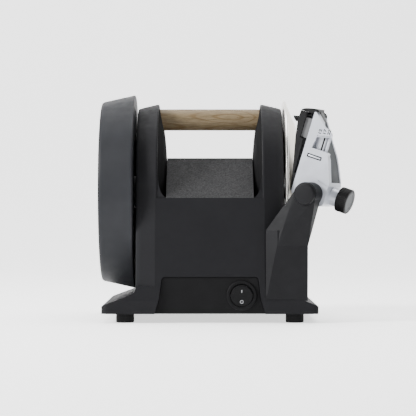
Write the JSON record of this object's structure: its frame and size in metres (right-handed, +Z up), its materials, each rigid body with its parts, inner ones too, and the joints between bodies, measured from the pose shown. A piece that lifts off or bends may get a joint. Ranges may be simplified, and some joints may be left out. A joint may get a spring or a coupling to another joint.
{
  "type": "bench knife sharpener",
  "caption": "Compact bench sharpener with a conical diamond wheel, a honing disc, a wooden carry handle and a tilting knife guide with an angle knob.",
  "frame": {"origin": "on the floor, at the middle of the whole machine's footprint", "axes": "+X along the spindle towards the diamond wheel, +Y to the back, +Z up"},
  "size_m": [0.255, 0.2262, 0.2295],
  "materials": {
    "cast_housing": "fine satin powder coat on the casting, coarse grain on the ridge slopes",
    "panel_plastic": "matte black",
    "foot_rubber": "matt",
    "oak": "oiled oak, grain along the bar",
    "zinc_steel": "satin",
    "bell_aluminium": "as cast",
    "brass": "satin",
    "lamination": "laminated, dull",
    "copper_winding": "varnished copper wire",
    "white_plastic": "satin moulded",
    "green_board": "lacquered circuit board",
    "diamond_steel": "turned and polished",
    "diamond_coating": "fine diamond grit in nickel",
    "honing_compound": "smooth dark composite",
    "honing_hub": "moulded",
    "guide_silver": "silver painted casting, satin",
    "guide_black": "moulded black",
    "insert_grey": "grained grey",
    "pad_grey": "soft grey"
  },
  "bodies": {
    "root": {"housing": "cast_housing", "bottom_plate": "panel_plastic", "switch_panel": "panel_plastic", "inlet_panel": "panel_plastic", "foot_front_left": "foot_rubber", "foot_front_right": "foot_rubber", "foot_rear_left": "foot_rubber", "foot_rear_right": "foot_rubber", "foot_screws": "zinc_steel", "handle_grip": "oak", "handle_screws": "zinc_steel", "bearing_plate_left": "bell_aluminium", "bearing_plate_right": "bell_aluminium", "plate_screws": "zinc_steel", "spindle_bearings": "zinc_steel", "idler_bushes": "brass", "motor_stator": "lamination", "motor_windings": "copper_winding", "motor_bell_left": "bell_aluminium", "motor_bell_right": "bell_aluminium", "motor_bearings": "zinc_steel", "motor_bolts": "zinc_steel", "run_capacitor": "white_plastic", "control_board": "green_board", "power_inlet": "panel_plastic", "inlet_pins": "brass", "switch_bezel": "panel_plastic", "switch_pin": "zinc_steel", "guide_bracket": "cast_housing", "bracket_bolts": "zinc_steel", "pivot_pin": "zinc_steel", "pivot_cap": "guide_black"},
    "spindle": {"spindle_shaft": "zinc_steel", "output_gear": "brass", "diamond_wheel": "diamond_steel", "abrasive_ring": "diamond_coating", "wheel_nut": "zinc_steel", "honing_core": "honing_hub", "honing_ring": "honing_compound", "honing_nut": "zinc_steel"},
    "idler": {"idler_shaft": "zinc_steel", "idler_gear": "white_plastic"},
    "rotor": {"motor_shaft": "zinc_steel", "motor_rotor": "lamination", "motor_fan": "panel_plastic"},
    "rocker": {"switch_rocker": "panel_plastic"},
    "guide": {"guide_casting": "guide_silver", "guide_side_insert": "insert_grey", "guide_badge": "guide_silver", "guide_leg": "guide_black", "top_cap": "guide_black", "jaw_pin": "zinc_steel", "scale_plate": "white_plastic"},
    "pointer": {"scale_pointer": "guide_black"},
    "jaw": {"pressure_jaw": "guide_black", "jaw_pad": "pad_grey", "jaw_wire": "zinc_steel", "jaw_spring": "zinc_steel"},
    "knob": {"angle_knob": "guide_black", "knob_cap": "guide_silver"}
  },
  "joints": [
    {"name": "spindle_spin", "type": "hinge", "parent": "root", "child": "spindle", "pos_m": [-0.01647, 0.0091, 0.13], "axis": [1, 0, 0], "continuous": true},
    {"name": "idler_spin", "type": "hinge", "parent": "root", "child": "idler", "pos_m": [0.02353, 0.0391, 0.08692], "axis": [1, 0, 0], "continuous": true},
    {"name": "motor_spin", "type": "hinge", "parent": "root", "child": "rotor", "pos_m": [-0.01647, 0.0091, 0.06046], "axis": [1, 0, 0], "continuous": true},
    {"name": "power_rocker", "type": "hinge", "parent": "root", "child": "rocker", "pos_m": [0.01483, -0.0896, 0.0271], "axis": [1, 0, 0], "range_deg": [-14, 0]},
    {"name": "guide_tilt", "type": "hinge", "parent": "root", "child": "guide", "pos_m": [0.08373, -0.0893, 0.1268], "axis": [0.4226, 0.9063, 0], "range_deg": [-6, 4]},
    {"name": "angle_knob_turn", "type": "hinge", "parent": "guide", "child": "knob", "pos_m": [0.09183, -0.07377, 0.12918], "axis": [0.8619, -0.4019, -0.309], "range_deg": [-162, 108]},
    {"name": "pointer_swing", "type": "hinge", "parent": "guide", "child": "pointer", "pos_m": [0.08671, -0.08628, 0.14737], "axis": [0.4226, 0.9063, 0], "range_deg": [-13.2, 8.8]},
    {"name": "jaw_press", "type": "hinge", "parent": "guide", "child": "jaw", "pos_m": [0.08371, -0.06998, 0.20516], "axis": [0.4226, 0.9063, 0], "range_deg": [0, 7], "stiffness_Nm_per_rad": 0.6, "springref_deg": -5.16}
  ],
  "couplings": [
    {"joint": "idler_spin", "follows": "spindle_spin", "ratio": -5},
    {"joint": "motor_spin", "follows": "spindle_spin", "ratio": 23.571},
    {"joint": "angle_knob_turn", "follows": "guide_tilt", "ratio": 27},
    {"joint": "pointer_swing", "follows": "guide_tilt", "ratio": 2.2}
  ]
}
